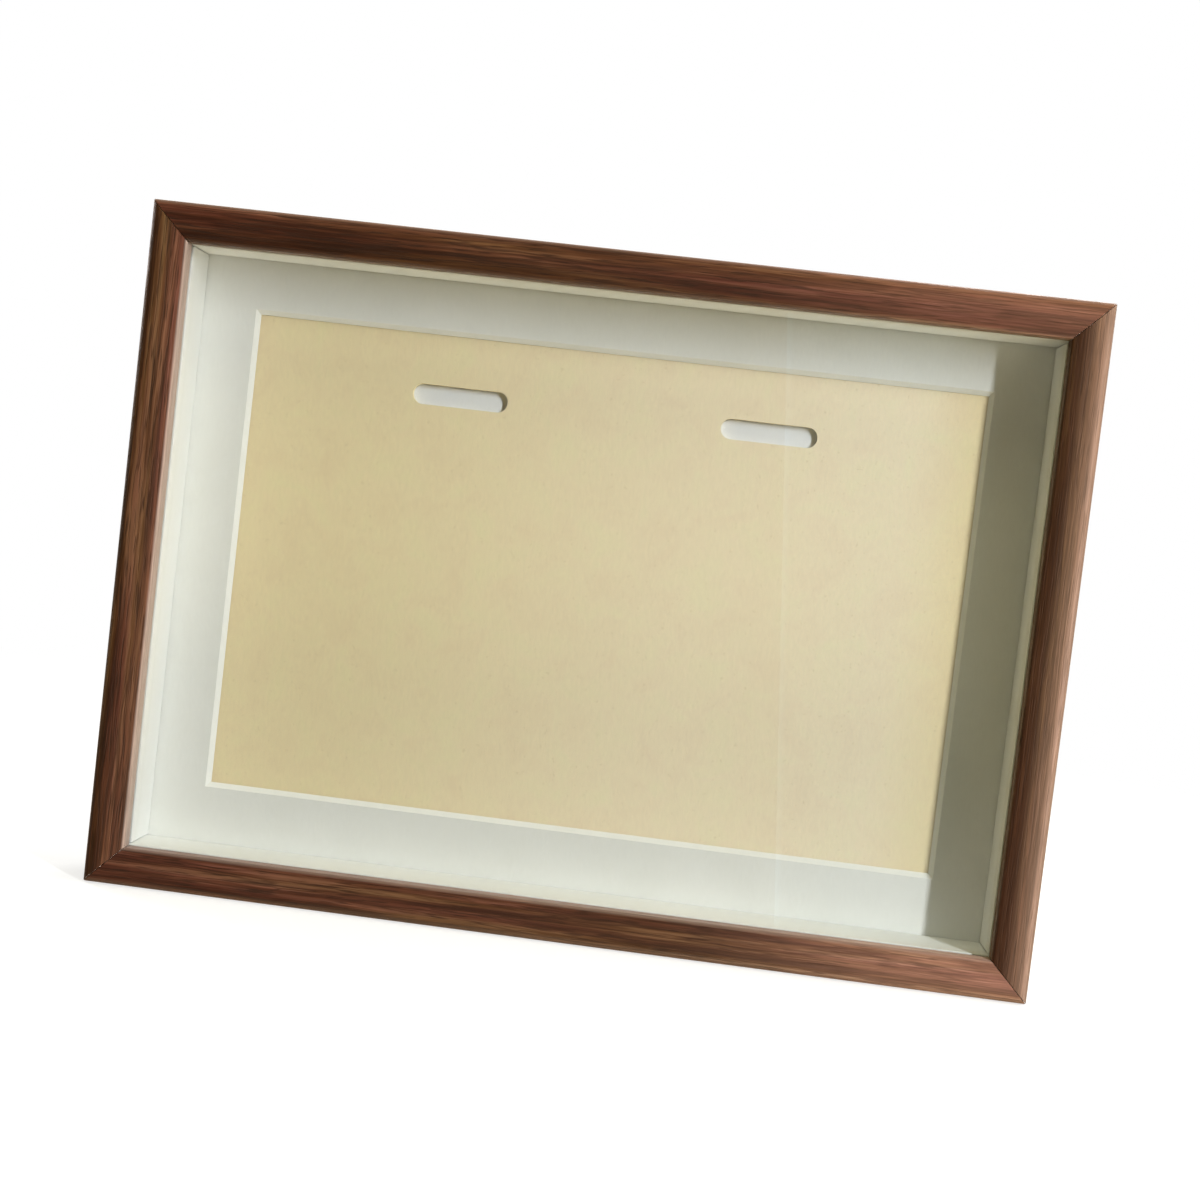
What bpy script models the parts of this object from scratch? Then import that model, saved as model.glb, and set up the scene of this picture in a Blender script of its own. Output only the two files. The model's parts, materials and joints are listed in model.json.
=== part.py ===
"""Medal shadow box: a mitred wooden frame around a glazed display case for two ribbons.

Metres, +Z up, the glass faces -Y. The origin is the middle of the bottom rail's underside.
The stack behind the lip is glass, spacers, window mat, slotted card, lining and back panel.
The turn buttons are drawn open, lying along the rails, so that the back can be lifted out.
"""

import math

import bmesh
import bpy

MM = 0.001

# Sheets cut to A4 landscape, in the order they lie behind the lip
SHEET_WIDTH = 297 * MM
SHEET_HEIGHT = 210 * MM
SHEET_CLEARANCE = 0.5 * MM
SHEET_ARRIS = 0.25 * MM
GLASS_THICKNESS = 2 * MM
SPACER_DEPTH = 18 * MM
MAT_THICKNESS = 1.6 * MM
CARD_THICKNESS = 2 * MM
LINING_THICKNESS = 0.8 * MM
PANEL_THICKNESS = 3 * MM

# Gaps left between pieces
FIT_GAP = 0.3 * MM
MITRE_GAP = 0.15 * MM

# Moulding section
WALL_THICKNESS = 9 * MM
LIP_WIDTH = 4 * MM
LIP_DEPTH = 7 * MM
SHOULDER_WIDTH = 3.4 * MM
SHOULDER_DEPTH = 4 * MM
INNER_ROUND = 1.2 * MM
FACE_SLOPE = math.radians(20)
SHOULDER_STEPS = 7
FACE_STEPS = 5
INNER_STEPS = 4

# Window of the mat, as the flat border that shows inside the spacers
MAT_SIDE_BORDER = 18.2 * MM
MAT_TOP_BORDER = 16.9 * MM
MAT_BOTTOM_BORDER = 19.4 * MM

# Ribbon slots, hung from the top edge of the mat's window
SLOT_LENGTH = 33 * MM
SLOT_HEIGHT = 7 * MM
SLOT_SPACING = 106.6 * MM
SLOT_DROP = 20.7 * MM
SLOT_STEPS = 8

# V-shaped corner nails, driven from the back across each mitre
V_NAIL_INSET = 3 * MM
V_NAIL_COVER = 2 * MM
V_NAIL_HALF_ANGLE = math.radians(60)
V_NAIL_THICKNESS = 0.6 * MM
V_NAIL_DEPTH = 10 * MM

# Turn buttons and their screws
BUTTON_CORNER_DISTANCE = 75 * MM
BUTTON_REACH = 13 * MM
BUTTON_HUB_RADIUS = 4.2 * MM
BUTTON_TIP_RADIUS = 3 * MM
BUTTON_THICKNESS = 1 * MM
BUTTON_STEPS = 10
RIB_WIDTH = 2.4 * MM
RIB_HEIGHT = 0.6 * MM
RIB_ROUND = 0.4 * MM
SCREW_HEAD_RADIUS = 3 * MM
SCREW_HEAD_HEIGHT = 1.9 * MM
SCREW_RIM_HEIGHT = 0.8 * MM
SCREW_RADIUS = 1.4 * MM
SCREW_LENGTH = 13 * MM
SCREW_POINT = 3 * MM
SCREW_SIDES = 20
HEAD_STEPS = 4
RECESS_SPAN = 3.2 * MM
RECESS_WIDTH = 0.8 * MM
RECESS_DEPTH = 1.1 * MM

# Sawtooth hanger and its nails
HANGER_LENGTH = 46 * MM
HANGER_HEIGHT = 7.6 * MM
HANGER_THICKNESS = 0.8 * MM
HANGER_RISE = 2 * MM
HANGER_TAB = 9 * MM
HANGER_RAMP = 3 * MM
HANGER_CHAMFER = 1.2 * MM
TOOTH_PITCH = 2.6 * MM
TOOTH_DEPTH = 1.7 * MM
NAIL_HEAD_RADIUS = 2.1 * MM
NAIL_HEAD_HEIGHT = 0.8 * MM
NAIL_RADIUS = 0.75 * MM
NAIL_LENGTH = 12 * MM
NAIL_POINT = 2 * MM
NAIL_SIDES = 16

# Frame sizes that follow from the sheets and the moulding
FACE_WIDTH = WALL_THICKNESS + LIP_WIDTH
RABBET_WIDTH = SHEET_WIDTH + 2 * SHEET_CLEARANCE
RABBET_HEIGHT = SHEET_HEIGHT + 2 * SHEET_CLEARANCE
OUTER_WIDTH = RABBET_WIDTH + 2 * WALL_THICKNESS
OUTER_HEIGHT = RABBET_HEIGHT + 2 * WALL_THICKNESS
MIDDLE_Z = OUTER_HEIGHT / 2
LAYERS = (
    ("glass", GLASS_THICKNESS),
    ("spacer", SPACER_DEPTH),
    ("mat", MAT_THICKNESS),
    ("card", CARD_THICKNESS),
    ("lining", LINING_THICKNESS),
    ("panel", PANEL_THICKNESS),
)
MOULDING_DEPTH = LIP_DEPTH + sum(FIT_GAP + thickness for _, thickness in LAYERS)
FRONT_Y = -MOULDING_DEPTH / 2
BACK_Y = MOULDING_DEPTH / 2

# Distance within which points made twice are merged, and the angle past which an edge stays sharp
MERGE = 0.000001
SHARP_ANGLE = math.radians(35)


def layer_span(wanted):
    """Front and back Y of one layer of the stack, each a fit gap behind the one before."""
    front = FRONT_Y + LIP_DEPTH + FIT_GAP
    for name, thickness in LAYERS:
        if name == wanted:
            return front, front + thickness
        front += thickness + FIT_GAP
    raise KeyError(wanted)


def make_material(name, colour, roughness, metallic=0.0, alpha=1.0):
    """Plain finish of one kind of piece, in linear colour."""
    material = bpy.data.materials.new(name)
    material.use_nodes = True
    shader = material.node_tree.nodes["Principled BSDF"]
    shader.inputs["Base Color"].default_value = (*colour, 1.0)
    shader.inputs["Roughness"].default_value = roughness
    shader.inputs["Metallic"].default_value = metallic
    shader.inputs["Alpha"].default_value = alpha
    return material


def make_object(name, bm, material, parent, location=(0, 0, 0), turn=0.0, smooth_angle=None):
    """Turn a bmesh into a named object, placed by its location and a turn about Y."""
    bmesh.ops.recalc_face_normals(bm, faces=bm.faces)
    mesh = bpy.data.meshes.new(name)
    bm.to_mesh(mesh)
    bm.free()
    if smooth_angle is not None:
        mesh.shade_smooth()
        mesh.set_sharp_from_angle(angle=smooth_angle)
    if material is not None:
        mesh.materials.append(material)
    piece = bpy.data.objects.new(name, mesh)
    bpy.context.scene.collection.objects.link(piece)
    piece.parent = parent
    piece.location = location
    piece.rotation_euler = (0, turn, 0)
    return piece


def make_tool_shape(name, bm, parent, location=(0, 0, 0), turn=0.0):
    """A shape that is only there to be cut from, or joined to, another piece."""
    shape = make_object(name, bm, None, parent, location, turn)
    shape.hide_render = True
    shape.display_type = 'WIRE'
    return shape


def combine(piece, shape, operation='DIFFERENCE'):
    """Cut a tool shape from a piece, or join it on."""
    modifier = piece.modifiers.new(shape.name, 'BOOLEAN')
    modifier.operation = operation
    modifier.solver = 'EXACT'
    modifier.object = shape


def prism(outline, front, back):
    """Solid with an XZ outline, from one Y to another."""
    bm = bmesh.new()
    face = bm.faces.new([bm.verts.new((x, front, z)) for x, z in outline])
    swept = bmesh.ops.extrude_face_region(bm, geom=[face])
    moved = [item for item in swept["geom"] if isinstance(item, bmesh.types.BMVert)]
    bmesh.ops.translate(bm, verts=moved, vec=(0, back - front, 0))
    return bm


def slab(width, height, span):
    """Flat sheet centred on X and Z, with its sharp edges taken off."""
    front, back = span
    bm = bmesh.new()
    bmesh.ops.create_cube(bm, size=1)
    bmesh.ops.scale(bm, verts=bm.verts, vec=(width, back - front, height))
    bmesh.ops.translate(bm, verts=bm.verts, vec=(0, (front + back) / 2, 0))
    bmesh.ops.bevel(
        bm, geom=bm.edges[:], offset=SHEET_ARRIS, offset_type='OFFSET', segments=1,
        profile=0.5, affect='EDGES', material=-1,
    )
    return bm


def turned(profile, sides):
    """Solid of revolution about Y from (radius, y) points that start and end on the axis."""
    bm = bmesh.new()
    points = [bm.verts.new((radius, y, 0)) for radius, y in profile]
    lines = [bm.edges.new(pair) for pair in zip(points, points[1:])]
    bmesh.ops.spin(
        bm, geom=points + lines, cent=(0, 0, 0), axis=(0, 1, 0),
        angle=2 * math.pi, steps=sides, use_merge=True,
    )
    bmesh.ops.remove_doubles(bm, verts=bm.verts, dist=MERGE)
    return bm


def arc(centre, radius, start, end, steps):
    """Points of a circular arc in a plane."""
    angles = [start + (end - start) * step / steps for step in range(steps + 1)]
    return [(centre[0] + radius * math.cos(a), centre[1] + radius * math.sin(a)) for a in angles]


def round_ended_outline(reach, start_radius, end_radius, steps):
    """Outline along X of a bar with a round end at the origin and another at its reach."""
    touch = math.acos((start_radius - end_radius) / reach)
    start = arc((0, 0), start_radius, touch, 2 * math.pi - touch, steps)
    return start + arc((reach, 0), end_radius, -touch, touch, steps)


def moulding_profile():
    """Section of the moulding as (inward, back) points, from its outer back corner."""
    profile = [(0, MOULDING_DEPTH)]
    for step in range(SHOULDER_STEPS + 1):
        angle = math.pi / 2 * step / SHOULDER_STEPS
        inward = SHOULDER_WIDTH * (1 - math.cos(angle))
        profile.append((inward, SHOULDER_DEPTH * (1 - math.sin(angle))))
    # The face crowns from level at the shoulder to its full slope at the inner round
    face_end = FACE_WIDTH - INNER_ROUND * (1 - math.sin(FACE_SLOPE))
    face_run = face_end - SHOULDER_WIDTH
    fall = face_run * math.tan(FACE_SLOPE) / 2
    for step in range(1, FACE_STEPS):
        share = step / FACE_STEPS
        profile.append((SHOULDER_WIDTH + face_run * share, fall * share ** 2))
    round_centre = (FACE_WIDTH - INNER_ROUND, fall + INNER_ROUND * math.cos(FACE_SLOPE))
    profile += arc(round_centre, INNER_ROUND, FACE_SLOPE - math.pi / 2, 0, INNER_STEPS)
    profile.append((FACE_WIDTH, LIP_DEPTH))
    profile.append((WALL_THICKNESS, LIP_DEPTH))
    profile.append((WALL_THICKNESS, MOULDING_DEPTH))
    return profile


def saw_mitre(bm, length, side):
    """Saw one end of a length of moulding at 45 degrees and close the cut."""
    normal = (side / math.sqrt(2), 0, 1 / math.sqrt(2))
    corner = side * length / 2
    point = (corner - normal[0] * MITRE_GAP / 2, 0, -normal[2] * MITRE_GAP / 2)
    sawn = bmesh.ops.bisect_plane(
        bm, geom=bm.verts[:] + bm.edges[:] + bm.faces[:], dist=MERGE,
        plane_co=point, plane_no=normal, clear_outer=True,
    )
    rim = [item for item in sawn["geom_cut"] if isinstance(item, bmesh.types.BMEdge)]
    bmesh.ops.edgeloop_fill(bm, edges=rim)


def make_rail(name, length, material, parent, location, turn):
    """One side of the frame: moulding along local X, outer side down, sawn at both ends."""
    stock = length + 2 * FACE_WIDTH
    bm = bmesh.new()
    section = [bm.verts.new((-stock / 2, FRONT_Y + back, inward)) for inward, back in moulding_profile()]
    swept = bmesh.ops.extrude_face_region(bm, geom=[bm.faces.new(section)])
    moved = [item for item in swept["geom"] if isinstance(item, bmesh.types.BMVert)]
    bmesh.ops.translate(bm, verts=moved, vec=(stock, 0, 0))
    for side in (-1, 1):
        saw_mitre(bm, length, side)
    return make_object(name, bm, material, parent, location, turn, SHARP_ANGLE)


def make_rails(material, parent):
    """The four mitred sides, by name."""
    half_width = OUTER_WIDTH / 2
    quarter = math.pi / 2
    return {
        "bottom": make_rail("rail_bottom", OUTER_WIDTH, material, parent, (0, 0, 0), 0),
        "top": make_rail("rail_top", OUTER_WIDTH, material, parent, (0, 0, OUTER_HEIGHT), math.pi),
        "left": make_rail(
            "rail_left", OUTER_HEIGHT, material, parent, (-half_width, 0, MIDDLE_Z), quarter),
        "right": make_rail(
            "rail_right", OUTER_HEIGHT, material, parent, (half_width, 0, MIDDLE_Z), -quarter),
    }


def v_outline(thickness, extra_leg):
    """Bent strip in XZ with its apex on the mitre, which runs from the origin along +Z."""
    sine = math.sin(V_NAIL_HALF_ANGLE)
    cosine = math.cos(V_NAIL_HALF_ANGLE)
    apex = WALL_THICKNESS * math.sqrt(2) - V_NAIL_INSET
    leg = (apex - V_NAIL_COVER * math.sqrt(2)) / (sine + cosine) + extra_leg
    rise = thickness / 2 / sine
    end_x = leg * sine
    end_z = apex - leg * cosine
    side_x = thickness / 2 * cosine
    side_z = thickness / 2 * sine
    return [
        (end_x + side_x, end_z + side_z),
        (0, apex + rise),
        (-end_x - side_x, end_z + side_z),
        (-end_x + side_x, end_z - side_z),
        (0, apex - rise),
        (end_x - side_x, end_z - side_z),
    ]


def make_v_nails(rails, material, parent):
    """A corner nail in each mitre, and the slot that it sits in, cut into both rails."""
    half_width = OUTER_WIDTH / 2
    corners = (
        ("bottom", "left", (-half_width, 0, 0), 45),
        ("bottom", "right", (half_width, 0, 0), -45),
        ("top", "left", (-half_width, 0, OUTER_HEIGHT), 135),
        ("top", "right", (half_width, 0, OUTER_HEIGHT), -135),
    )
    for level, side, corner, degrees in corners:
        place = f"{level}_{side}"
        turn = math.radians(degrees)
        tip = BACK_Y - FIT_GAP - V_NAIL_DEPTH
        strip = prism(v_outline(V_NAIL_THICKNESS, 0), tip, BACK_Y - FIT_GAP)
        make_object(f"v_nail_{place}", strip, material, parent, corner, turn)
        room = v_outline(V_NAIL_THICKNESS + 2 * FIT_GAP, FIT_GAP)
        slot = prism(room, tip - FIT_GAP, BACK_Y + FIT_GAP)
        slot_shape = make_tool_shape(f"v_nail_slot_{place}", slot, parent, corner, turn)
        combine(rails[level], slot_shape)
        combine(rails[side], slot_shape)


def make_glass(material, parent):
    """Front pane with its edges ground off."""
    pane = slab(SHEET_WIDTH, SHEET_HEIGHT, layer_span("glass"))
    make_object("glass_pane", pane, material, parent, (0, 0, MIDDLE_Z))


def make_spacers(material, parent):
    """White strips that line the rabbet flush with the lip and hold the mat off the glass."""
    thickness = LIP_WIDTH - FIT_GAP
    span = layer_span("spacer")
    long_length = RABBET_WIDTH - 2 * FIT_GAP
    short_length = RABBET_HEIGHT - 2 * (LIP_WIDTH + FIT_GAP)
    offset_x = RABBET_WIDTH / 2 - FIT_GAP - thickness / 2
    offset_z = RABBET_HEIGHT / 2 - FIT_GAP - thickness / 2
    for name, z in (("top", offset_z), ("bottom", -offset_z)):
        strip = slab(long_length, thickness, span)
        make_object(f"spacer_{name}", strip, material, parent, (0, 0, MIDDLE_Z + z))
    for name, x in (("left", -offset_x), ("right", offset_x)):
        strip = slab(thickness, short_length, span)
        make_object(f"spacer_{name}", strip, material, parent, (x, 0, MIDDLE_Z))


def rectangle_points(bm, half_width, low, high, y):
    """Four corners of a rectangle in a plane of constant Y, in order round it."""
    corners = ((-half_width, low), (half_width, low), (half_width, high), (-half_width, high))
    return [bm.verts.new((x, y, z)) for x, z in corners]


def window_limits():
    """Half width, bottom and top of the mat's window at its front face."""
    half_width = OUTER_WIDTH / 2 - FACE_WIDTH - MAT_SIDE_BORDER
    return half_width, FACE_WIDTH + MAT_BOTTOM_BORDER, OUTER_HEIGHT - FACE_WIDTH - MAT_TOP_BORDER


def make_window_mat(material, parent):
    """Mat board with a window whose edge is cut at 45 degrees, narrowing to the back."""
    front, back = layer_span("mat")
    half_width, low, high = window_limits()
    bevel = MAT_THICKNESS
    bottom = MIDDLE_Z - SHEET_HEIGHT / 2
    top = MIDDLE_Z + SHEET_HEIGHT / 2
    bm = bmesh.new()
    rings = (
        rectangle_points(bm, SHEET_WIDTH / 2, bottom, top, front),
        rectangle_points(bm, half_width, low, high, front),
        rectangle_points(bm, half_width - bevel, low + bevel, high - bevel, back),
        rectangle_points(bm, SHEET_WIDTH / 2, bottom, top, back),
    )
    for index, ring in enumerate(rings):
        before = rings[index - 1]
        for side in range(len(ring)):
            bm.faces.new((before[side - 1], before[side], ring[side], ring[side - 1]))
    make_object("window_mat", bm, material, parent)


def make_medal_card(material, parent):
    """Cream card with a round-ended slot for each medal's ribbon."""
    front, back = layer_span("card")
    card = slab(SHEET_WIDTH, SHEET_HEIGHT, (front, back))
    piece = make_object("medal_card", card, material, parent, (0, 0, MIDDLE_Z))
    end_radius = SLOT_HEIGHT / 2
    reach = SLOT_LENGTH - SLOT_HEIGHT
    window_top = window_limits()[2] - MAT_THICKNESS
    for name, side in (("left", -1), ("right", 1)):
        outline = round_ended_outline(reach, end_radius, end_radius, SLOT_STEPS)
        slot = prism(outline, front - FIT_GAP, back + FIT_GAP)
        place = (side * SLOT_SPACING / 2 - reach / 2, 0, window_top - SLOT_DROP)
        combine(piece, make_tool_shape(f"ribbon_slot_{name}", slot, parent, place))


def make_back(lining_material, panel_material, parent):
    """White lining sheet and the stiff panel that closes the case."""
    lining = slab(SHEET_WIDTH, SHEET_HEIGHT, layer_span("lining"))
    make_object("backing_sheet", lining, lining_material, parent, (0, 0, MIDDLE_Z))
    panel = slab(SHEET_WIDTH, SHEET_HEIGHT, layer_span("panel"))
    make_object("back_panel", panel, panel_material, parent, (0, 0, MIDDLE_Z))


def pilot_hole(rail, name, radius, depth, sides, parent, place):
    """Drill a rail from the back."""
    hole = turned([(0, FIT_GAP), (radius, FIT_GAP), (radius, -depth), (0, -depth)], sides)
    combine(rail, make_tool_shape(f"pilot_{name}", hole, parent, place))


def turn_button_mesh():
    """Stamped plate with its hub at the origin, its arm along +X and its back face at Y 0."""
    outline = round_ended_outline(BUTTON_REACH, BUTTON_HUB_RADIUS, BUTTON_TIP_RADIUS, BUTTON_STEPS)
    return prism(outline, 0, BUTTON_THICKNESS)


def rib_mesh():
    """Rounded stiffening rib that stands on the arm between the screw head and the tip."""
    start = SCREW_HEAD_RADIUS + RIB_WIDTH / 2 + FIT_GAP
    outline = round_ended_outline(BUTTON_REACH - start, RIB_WIDTH / 2, RIB_WIDTH / 2, BUTTON_STEPS)
    bm = prism(outline, BUTTON_THICKNESS / 2, BUTTON_THICKNESS + RIB_HEIGHT)
    top = [face for face in bm.faces if all(v.co.y > BUTTON_THICKNESS for v in face.verts)]
    bmesh.ops.bevel(
        bm, geom=top[0].edges[:], offset=RIB_ROUND, offset_type='OFFSET', segments=2,
        profile=0.5, affect='EDGES', material=-1,
    )
    bmesh.ops.translate(bm, verts=bm.verts, vec=(start, 0, 0))
    return bm


def screw_profile():
    """Pan head above Y 0 and a pointed shank below it, as (radius, y) points."""
    dome = SCREW_HEAD_HEIGHT - SCREW_RIM_HEIGHT
    angles = [math.pi / 2 * step / HEAD_STEPS for step in range(HEAD_STEPS + 1)]
    profile = [
        (SCREW_HEAD_RADIUS * math.sin(angle), SCREW_RIM_HEIGHT + dome * math.cos(angle))
        for angle in angles
    ]
    profile.append((SCREW_HEAD_RADIUS, 0))
    profile.append((SCREW_RADIUS, 0))
    profile.append((SCREW_RADIUS, SCREW_POINT - SCREW_LENGTH))
    profile.append((0, -SCREW_LENGTH))
    return profile


def recess_outline():
    """Plus-shaped outline of a cross recess."""
    far = RECESS_SPAN / 2
    near = RECESS_WIDTH / 2
    return [
        (near, near), (far, near), (far, -near), (near, -near), (near, -far), (-near, -far),
        (-near, -near), (-far, -near), (-far, near), (-near, near), (-near, far), (near, far),
    ]


def make_turn_button(place, rail, pivot, turn, materials, parent):
    """A button lying open along its rail, its pan-head screw and the screw's pilot hole."""
    x, z = pivot
    seat = (x, BACK_Y + FIT_GAP, z)
    button = make_object(
        f"turn_button_{place}", turn_button_mesh(), materials["plate"], parent, seat, turn)
    rib = make_tool_shape(f"rib_{place}", rib_mesh(), parent, seat, turn)
    combine(button, rib, 'UNION')
    bore = SCREW_RADIUS + FIT_GAP
    hole = turned(
        [(0, 2 * BUTTON_THICKNESS), (bore, 2 * BUTTON_THICKNESS), (bore, -FIT_GAP), (0, -FIT_GAP)],
        SCREW_SIDES)
    combine(button, make_tool_shape(f"button_hole_{place}", hole, parent, seat))

    under_head = BACK_Y + 2 * FIT_GAP + BUTTON_THICKNESS
    screw = make_object(
        f"button_screw_{place}", turned(screw_profile(), SCREW_SIDES), materials["screw"], parent,
        (x, under_head, z), 0, SHARP_ANGLE)
    recess = prism(recess_outline(), SCREW_HEAD_HEIGHT - RECESS_DEPTH, SCREW_HEAD_HEIGHT + FIT_GAP)
    combine(screw, make_tool_shape(f"recess_{place}", recess, parent, (x, under_head, z)))
    depth = SCREW_LENGTH - BUTTON_THICKNESS - FIT_GAP
    pilot_hole(rail, f"screw_{place}", bore, depth, SCREW_SIDES, parent, (x, BACK_Y, z))


def make_turn_buttons(rails, materials, parent):
    """Two buttons on each long rail and one half way up each short rail."""
    near = WALL_THICKNESS / 2
    along = OUTER_WIDTH / 2 - BUTTON_CORNER_DISTANCE
    across = OUTER_WIDTH / 2 - near
    top = OUTER_HEIGHT - near
    toward_right = 0
    toward_left = math.pi
    downward = math.pi / 2
    places = (
        ("top_left", "top", (-along, top), toward_right),
        ("top_right", "top", (along, top), toward_left),
        ("bottom_left", "bottom", (-along, near), toward_right),
        ("bottom_right", "bottom", (along, near), toward_left),
        ("left", "left", (-across, MIDDLE_Z), downward),
        ("right", "right", (across, MIDDLE_Z), downward),
    )
    for place, rail, pivot, turn in places:
        make_turn_button(place, rails[rail], pivot, turn, materials, parent)


def hanger_stations():
    """Points along the hanger as (x, half height above, half height below, rise)."""
    end = HANGER_LENGTH / 2
    half = HANGER_HEIGHT / 2
    raised = end - HANGER_TAB - HANGER_RAMP
    clipped = half - HANGER_CHAMFER
    tab = [
        (-end, clipped, clipped, 0),
        (HANGER_CHAMFER - end, half, half, 0),
        (HANGER_TAB - end, half, half, 0),
    ]
    teeth = max(1, round(2 * raised / TOOTH_PITCH))
    edge = [(-raised, half, half, HANGER_RISE)]
    for tooth in range(teeth):
        notch = raised * ((2 * tooth + 1) / teeth - 1)
        tip = raised * ((2 * tooth + 2) / teeth - 1)
        edge.append((notch, half, half - TOOTH_DEPTH, HANGER_RISE))
        edge.append((tip, half, half, HANGER_RISE))
    far_tab = [(-x, above, below, rise) for x, above, below, rise in reversed(tab)]
    return tab + edge + far_tab


def hanger_mesh():
    """Plate bowed away from the rail, with teeth along the lower edge of its raised middle."""
    bm = bmesh.new()
    rungs = []
    for x, above, below, rise in hanger_stations():
        rungs.append((bm.verts.new((x, rise, above)), bm.verts.new((x, rise, -below))))
    faces = [
        bm.faces.new((first[0], first[1], second[1], second[0]))
        for first, second in zip(rungs, rungs[1:])
    ]
    swept = bmesh.ops.extrude_face_region(bm, geom=faces)
    moved = [item for item in swept["geom"] if isinstance(item, bmesh.types.BMVert)]
    bmesh.ops.translate(bm, verts=moved, vec=(0, HANGER_THICKNESS, 0))
    return bm


def make_hanger(rail, materials, parent):
    """Sawtooth hanger in the middle of the top rail, held by a nail through each tab."""
    z = OUTER_HEIGHT - WALL_THICKNESS / 2
    seat = (0, BACK_Y + FIT_GAP, z)
    hanger = make_object("sawtooth_hanger", hanger_mesh(), materials["plate"], parent, seat)
    bore = NAIL_RADIUS + FIT_GAP
    under_head = BACK_Y + 2 * FIT_GAP + HANGER_THICKNESS
    depth = NAIL_LENGTH - HANGER_THICKNESS - FIT_GAP
    profile = [
        (0, NAIL_HEAD_HEIGHT), (NAIL_HEAD_RADIUS, NAIL_HEAD_HEIGHT), (NAIL_HEAD_RADIUS, 0),
        (NAIL_RADIUS, 0), (NAIL_RADIUS, NAIL_POINT - NAIL_LENGTH), (0, -NAIL_LENGTH),
    ]
    for name, side in (("left", -1), ("right", 1)):
        x = side * (HANGER_LENGTH - HANGER_TAB) / 2
        hole = turned(
            [(0, 2 * HANGER_THICKNESS), (bore, 2 * HANGER_THICKNESS), (bore, -FIT_GAP), (0, -FIT_GAP)],
            NAIL_SIDES)
        combine(hanger, make_tool_shape(f"hanger_hole_{name}", hole, parent, (x, seat[1], z)))
        make_object(
            f"hanger_nail_{name}", turned(profile, NAIL_SIDES), materials["nail"], parent,
            (x, under_head, z), 0, SHARP_ANGLE)
        pilot_hole(rail, f"nail_{name}", bore, depth, NAIL_SIDES, parent, (x, BACK_Y, z))


def make_materials():
    """Finishes of the pieces."""
    return {
        "wood": make_material("walnut_stained_wood", (0.127, 0.055, 0.030), 0.45),
        "glass": make_material("clear_glass", (0.90, 0.95, 0.92), 0.02, alpha=0.25),
        "spacer": make_material("white_spacer", (0.78, 0.78, 0.74), 0.6),
        "mat": make_material("white_mat_board", (0.80, 0.80, 0.76), 0.85),
        "card": make_material("cream_card", (0.68, 0.58, 0.37), 0.85),
        "lining": make_material("white_lining", (0.80, 0.80, 0.80), 0.85),
        "panel": make_material("brown_hardboard", (0.24, 0.14, 0.075), 0.7),
        "plate": make_material("zinc_plated_steel", (0.60, 0.60, 0.58), 0.35, metallic=1.0),
        "screw": make_material("zinc_plated_screw", (0.66, 0.64, 0.58), 0.3, metallic=1.0),
        "nail": make_material("bright_nail_steel", (0.55, 0.55, 0.55), 0.35, metallic=1.0),
    }


def main():
    for leftover in list(bpy.data.objects):
        bpy.data.objects.remove(leftover, do_unlink=True)
    root = bpy.data.objects.new("medal_shadow_box", None)
    bpy.context.scene.collection.objects.link(root)
    materials = make_materials()
    rails = make_rails(materials["wood"], root)
    make_v_nails(rails, materials["nail"], root)
    make_glass(materials["glass"], root)
    make_spacers(materials["spacer"], root)
    make_window_mat(materials["mat"], root)
    make_medal_card(materials["card"], root)
    make_back(materials["lining"], materials["panel"], root)
    make_turn_buttons(rails, materials, root)
    make_hanger(rails["top"], materials, root)


main()
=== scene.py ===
"""Looks of the medal shadow box: walnut moulding, glass, white mat, cream card and back hardware.

Metres, +Z up, the glass faces -Y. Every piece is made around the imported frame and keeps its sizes.
"""

import json
import math

import bmesh
import bpy
from mathutils import Matrix, Vector


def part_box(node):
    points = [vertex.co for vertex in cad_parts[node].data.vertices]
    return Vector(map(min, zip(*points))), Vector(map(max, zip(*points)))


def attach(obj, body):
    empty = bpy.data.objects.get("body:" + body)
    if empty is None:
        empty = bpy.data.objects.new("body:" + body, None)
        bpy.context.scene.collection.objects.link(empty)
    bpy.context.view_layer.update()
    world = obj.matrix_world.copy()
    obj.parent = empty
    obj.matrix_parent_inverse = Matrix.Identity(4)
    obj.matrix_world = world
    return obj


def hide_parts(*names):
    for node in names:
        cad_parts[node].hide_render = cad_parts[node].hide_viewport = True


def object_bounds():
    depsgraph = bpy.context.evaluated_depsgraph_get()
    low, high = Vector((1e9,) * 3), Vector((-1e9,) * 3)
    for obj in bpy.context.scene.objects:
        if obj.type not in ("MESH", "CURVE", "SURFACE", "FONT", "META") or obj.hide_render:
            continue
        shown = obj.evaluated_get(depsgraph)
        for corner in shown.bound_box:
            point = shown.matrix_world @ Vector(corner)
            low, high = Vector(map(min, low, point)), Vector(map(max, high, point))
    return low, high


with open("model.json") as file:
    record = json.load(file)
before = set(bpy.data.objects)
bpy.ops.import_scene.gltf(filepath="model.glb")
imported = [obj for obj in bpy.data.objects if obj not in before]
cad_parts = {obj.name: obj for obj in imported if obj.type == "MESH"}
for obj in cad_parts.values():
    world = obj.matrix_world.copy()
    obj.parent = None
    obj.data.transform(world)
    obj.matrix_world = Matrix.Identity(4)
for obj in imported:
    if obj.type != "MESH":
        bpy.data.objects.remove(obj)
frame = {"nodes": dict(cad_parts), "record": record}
CAD_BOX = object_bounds()

MM = 0.001
FIT_GAP = 0.3 * MM
MITRE_GAP = 0.15 * MM
MERGE = 0.001 * MM
SHARP_ANGLE = math.radians(32)

# Direction along which a mesh's points, edges and faces are put in order
ORDER = Vector((1.0, 7.3, 53.9))

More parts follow.
